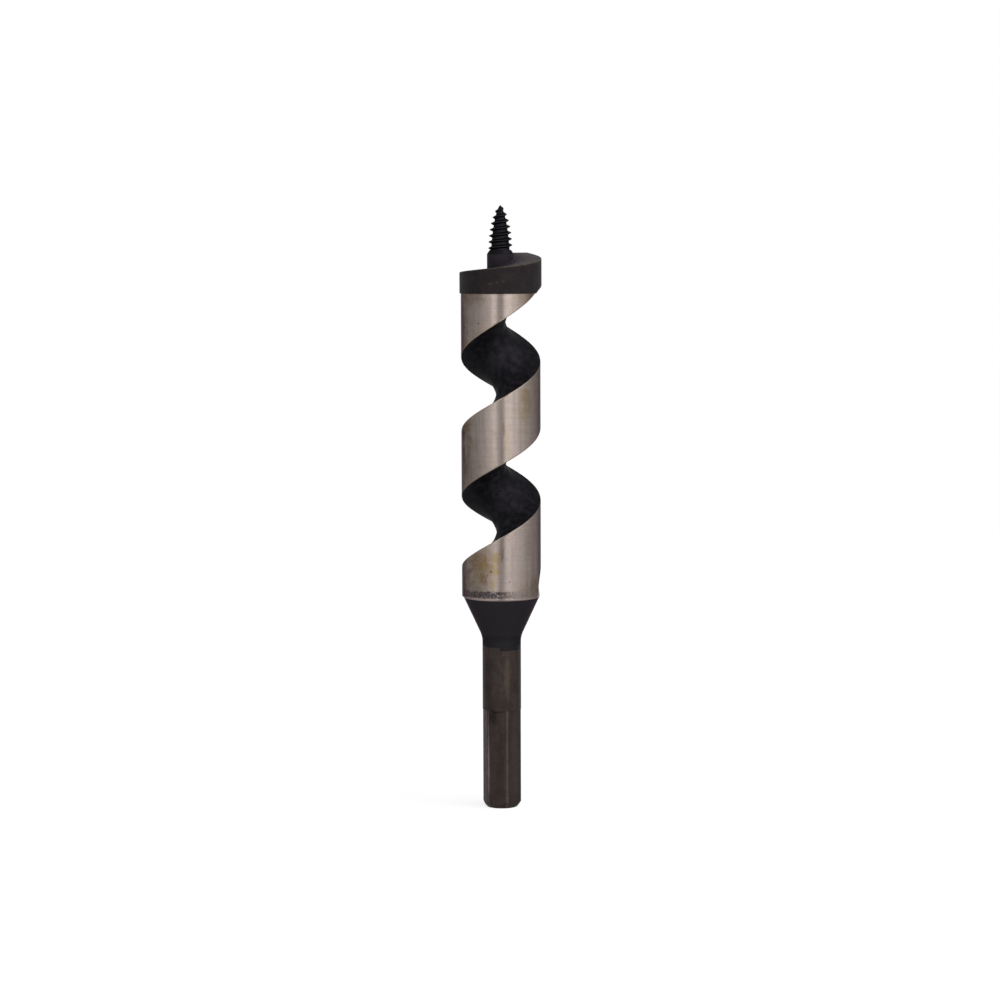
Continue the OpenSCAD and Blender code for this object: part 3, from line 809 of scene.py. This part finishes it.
# %% Dark scale on the head
material, tree = new_finish("dark_scale_steel")
edge = mark(tree, "edge")
ramp_face = mark(tree, "ramp_face")
neck = mark(tree, "neck")
fine = use(tree, oxide_mottle, Scale=1.6, Low=0.35, High=0.68)
broad = use(tree, oxide_mottle, Scale=0.35, Low=0.4, High=0.65)
scale = over(tree, fine, colour(0.0135, 0.0113, 0.0128), colour(0.0258, 0.0222, 0.0232))
scale = partly(tree, 0.6, broad, scale, colour(0.0262, 0.0222, 0.0204))
ramp = over(tree, fine, colour(0.0270, 0.0228, 0.0244), colour(0.0490, 0.0416, 0.0428))
ramp = partly(tree, 0.5, broad, ramp, colour(0.0470, 0.0370, 0.0310))
scale = over(tree, ramp_face, scale, ramp)
# The neck's near-black, faded out across the ramp: the ramp is darker towards the neck
neck_dark = over(tree, fine, colour(0.0200, 0.0164, 0.0220), colour(0.0268, 0.0232, 0.0284))
scale = over(tree, neck, scale, neck_dark)
for spot in ((-105.0, 166.2, 3.0, 0.6), (-95.0, 166.6, 2.5, 0.5), (-86.0, 166.9, 3.5, 0.4)):
    scale = partly(tree, 0.7, stain_at(tree, spot, ragged=1.2, scale=1.2), scale, colour(0.050, 0.038, 0.026))
worn = use(tree, edge_wear, Edge=edge, Width=0.3, Scale=0.6)
worn_side = stain_at(tree, (-50.0, 172.0, 75.0, 60.0), ragged=0.8, scale=0.5)
worn = calc(tree, "MULTIPLY", worn, eased(tree, worn_side, 0.0, 1.0, 0.25, 0.8))
base = over(tree, worn, scale, colour(0.074, 0.060, 0.044))
roughness = eased(tree, fine, 0.0, 1.0, 0.70, 0.82)
finish_steel(head, material, base, roughness, fine, 0.02, 0.3, colour(0.97, 0.95, 1.0))

# %% Black screw point
material, tree = new_finish("black_point_steel")
fine = use(tree, oxide_mottle, Scale=2.0, Low=0.35, High=0.7)
base = over(tree, fine, colour(0.0078, 0.0073, 0.0090), colour(0.0124, 0.0113, 0.0138))
crest = eased(tree, mark(tree, "crest"), 0.75, 1.0)
base = partly(tree, 0.5, crest, base, colour(0.021, 0.020, 0.024))
roughness = eased(tree, fine, 0.0, 1.0, 0.46, 0.58)
finish_steel(point, material, base, roughness, fine, 0.02, 0.3, colour(0.5, 0.5, 0.5))

# %% Satin black collar
material, tree = new_finish("satin_black_steel")
lines = use(tree, tool_lines, Along=3.0, Around=0.1)
fine = use(tree, oxide_mottle, Scale=1.1, Low=0.35, High=0.7)
base = over(tree, lines, colour(0.0154, 0.0137, 0.0160), colour(0.0212, 0.0188, 0.0216))
base = partly(tree, 0.45, fine, base, colour(0.0248, 0.0220, 0.0246))
foot = use(tree, ragged_band, From=40.0, To=55.2, Ragged=1.2, Soft=1.2, Scale=0.4)
base = partly(tree, 0.8, foot, base, colour(0.0118, 0.0114, 0.0122))
roughness = eased(tree, fine, 0.0, 1.0, 0.52, 0.62)
finish_steel(collar, material, base, roughness, lines, 0.01, 0.2, colour(0.55, 0.52, 0.55))

# %% [markdown]
# The shank shows the brown of tempering, with drawn streaks along it, wear on the corners of the hexagon, and
# a ragged overlap of the collar's black at its upper end.

# %% Brown steel of the shank
material, tree = new_finish("brown_tempered_steel")
edge = mark(tree, "edge")
streaks = use(tree, tool_lines, Along=0.12, Around=0.9)
fine = use(tree, oxide_mottle, Scale=1.2, Low=0.35, High=0.7)
cloudy = use(tree, oxide_mottle, Scale=0.3, Low=0.42, High=0.62)
worn = use(tree, edge_wear, Edge=edge, Width=0.42, Scale=0.25)
base = over(tree, eased(tree, streaks, 0.3, 0.7), colour(0.0295, 0.0222, 0.0205), colour(0.0395, 0.0298, 0.0265))
base = partly(tree, 0.4, fine, base, colour(0.0320, 0.0240, 0.0214))
base = partly(tree, 0.6, cloudy, base, colour(0.0225, 0.0170, 0.0154))
base = partly(tree, 0.5, worn, base, colour(0.070, 0.056, 0.054))

# %% Marks, a painted shadow and the black overlap on the shank
# Turn, height, half turn and half height of a mark, then its strength and tone
shank_marks = (
    # The first, darkest mark, around the top of the flats left of the front, is painted shadow
    ((-118.0, 29.0, 22.0, 4.0), 0.80, colour(0.0110, 0.0090, 0.0085)),
    ((-44.5, 15.0, 30.0, 24.0), 0.60, colour(0.0480, 0.0362, 0.0334)),
    ((-73.0, 42.0, 12.0, 10.0), 0.60, colour(0.0540, 0.0396, 0.0306)),
    ((-83.0, 34.0, 16.0, 2.6), 0.50, colour(0.0180, 0.0150, 0.0140)),
    ((-150.0, 42.0, 24.0, 12.0), 0.45, colour(0.0200, 0.0155, 0.0150)),
    ((-104.5, 15.0, 28.0, 26.0), 0.45, colour(0.0235, 0.0175, 0.0155)),
    ((-100.0, 12.0, 16.0, 5.0), 0.35, colour(0.0190, 0.0142, 0.0125)),
    ((-134.5, 14.0, 6.0, 18.0), 0.90, colour(0.140, 0.112, 0.106)))
for spot, strength, tone in shank_marks:
    base = partly(tree, strength, stain_at(tree, spot, ragged=1.0, scale=0.4), base, tone)
left_black = use(tree, ragged_band, From=51.5, To=60.0, Ragged=0.6, Soft=0.25, Scale=0.5)
right_black = use(tree, ragged_band, From=50.5, To=60.0, Ragged=0.6, Soft=0.25, Scale=0.5)
right_side = eased(tree, stain_at(tree, (-45.0, 51.0, 62.0, 60.0), ragged=0.1, scale=1.0), 0.1, 0.2)
black = calc(tree, "MAXIMUM", left_black, calc(tree, "MULTIPLY", right_black, right_side))
base = over(tree, black, base, colour(0.0120, 0.0112, 0.0124))
roughness = eased(tree, fine, 0.0, 1.0, 0.46, 0.58)
finish_steel(shank, material, base, roughness, fine, 0.01, 0.2, colour(0.75, 0.72, 0.78))

# %% [markdown]
# The studio: a pale floor, a white surround, and soft panels on both sides of the camera and above. The surround
# and the floor show white to the camera and in reflections. The floor is a pale paint with a glow that grows a
# little away from the bit, where less light falls, so it stays even and still takes the shadow.

# %% Surround
SURROUND_DIFFUSE, SURROUND_SEEN = 0.4, 1.0
WHITE = colour(1, 1, 1)


def background_rays(tree):
    """1 for rays from the camera, in reflections and through glass, 0 for diffuse light."""
    path = node(tree, "ShaderNodeLightPath").outputs
    seen = calc(tree, "MAXIMUM", path["Is Camera Ray"], path["Is Glossy Ray"])
    return calc(tree, "MAXIMUM", seen, path["Is Transmission Ray"])


scene = bpy.context.scene
world = bpy.data.worlds.new("white_surround")
world.use_nodes = True
tree = world.node_tree
tree.nodes.clear()
strength = eased(tree, background_rays(tree), 0.0, 1.0, SURROUND_DIFFUSE, SURROUND_SEEN)
surround = node(tree, "ShaderNodeBackground", {"Color": WHITE, "Strength": strength})
node(tree, "ShaderNodeOutputWorld", {0: surround.outputs[0]})
scene.world = world
print("world:", world.name)

# %% Floor
FLOOR_HALF = 3.0
FLOOR_GREY = 0.25
GLOW_NEAR, GLOW_FAR, GLOW_REACH = 0.79, 0.90, 0.6

corners = [(x * FLOOR_HALF, y * FLOOR_HALF, 0) for x, y in ((-1, -1), (1, -1), (1, 1), (-1, 1))]
floor_mesh = bpy.data.meshes.new("floor")
floor_mesh.from_pydata(corners, [], [(0, 1, 2, 3)])
floor = bpy.data.objects.new("floor", floor_mesh)
scene.collection.objects.link(floor)
material, tree = new_finish("pale_floor")
paint = node(tree, "ShaderNodeBsdfDiffuse", {"Color": colour(FLOOR_GREY, FLOOR_GREY, FLOOR_GREY)})
where = node(tree, "ShaderNodeTexCoord").outputs["Object"]
away = node(tree, "ShaderNodeVectorMath", {0: where}, operation="LENGTH").outputs["Value"]
level = eased(tree, away, 0.0, GLOW_REACH, GLOW_NEAR, GLOW_FAR)
level = calc(tree, "MULTIPLY", background_rays(tree), level)
glow = node(tree, "ShaderNodeEmission", {"Color": WHITE, "Strength": level})
both = node(tree, "ShaderNodeAddShader", {0: paint.outputs[0], 1: glow.outputs[0]})
node(tree, "ShaderNodeOutputMaterial", {0: both.outputs[0]})
floor_mesh.materials.append(material)
print("floor:", material.name)

# %% Soft panels
PANEL_DISTANCE = 0.45
PANEL_TALL = 0.62
PANEL_FLOOR_GAP = 0.005
# Lower and upper azimuth in degrees from the camera's side, and radiance
PANELS = (
    (9.5, 32, 2.7), (32, 52, 1.75), (52, 72, 0.95), (72, 92, 0.4),
    (-25, -8.5, 2.3), (-42, -25, 1.2), (-60, -42, 0.5), (-80, -60, 0.15))
ABOVE_PLACE, ABOVE_TARGET = Vector((0.42, -0.12, 0.62)), Vector((0, 0, 0.12))
ABOVE_SIZE, ABOVE_RADIANCE = 0.46, 3.2


def soft_panel(name, width, tall, radiance, place, direction):
    """A rectangle of light at a place, facing a direction; its power is radiance times pi times its area."""
    data = bpy.data.lights.new(name, "AREA")
    data.shape = "RECTANGLE"
    data.size, data.size_y = width, tall
    data.energy = radiance * math.pi * width * tall
    lamp = bpy.data.objects.new(name, data)
    lamp.location = place
    lamp.rotation_euler = direction.to_track_quat("-Z", "Y").to_euler()
    lamp.visible_camera = False
    scene.collection.objects.link(lamp)


for low, high, radiance in PANELS:
    middle = math.radians((low + high) / 2)
    width = 2 * PANEL_DISTANCE * math.tan(math.radians(high - low) / 2)
    stand = Vector((math.sin(middle), -math.cos(middle), 0)) * PANEL_DISTANCE
    place = stand + Vector((0, 0, PANEL_TALL / 2 + PANEL_FLOOR_GAP))
    soft_panel("panel_%d" % round(low), width, PANEL_TALL, radiance, place, -stand)
soft_panel("panel_above", ABOVE_SIZE, ABOVE_SIZE, ABOVE_RADIANCE, ABOVE_PLACE, ABOVE_TARGET - ABOVE_PLACE)

# %% [markdown]
# The camera stands in front of the bit and slightly above its middle, far enough away that the sides run
# nearly parallel, as in the picture that the model follows.

# %% Camera
SENSOR_WIDTH, LENS = 36.0, 108.70
CAMERA_PLACE = (0, -0.950, 0.18265)
CAMERA_TURN, CAMERA_DOWN, CAMERA_ROLL = 0.0230, 5.1030, -0.1971

camera_data = bpy.data.cameras.new("camera")
camera_data.sensor_width = SENSOR_WIDTH
camera_data.lens = LENS
camera = bpy.data.objects.new("camera", camera_data)
aim = Matrix.Translation(CAMERA_PLACE)
for angle, axis in ((CAMERA_TURN, "Z"), (90 - CAMERA_DOWN, "X"), (CAMERA_ROLL, "Z")):
    aim = aim @ Matrix.Rotation(math.radians(angle), 4, axis)
camera.matrix_world = aim
scene.collection.objects.link(camera)
scene.camera = camera
scene.view_settings.view_transform = "Standard"
print("camera at", CAMERA_PLACE)
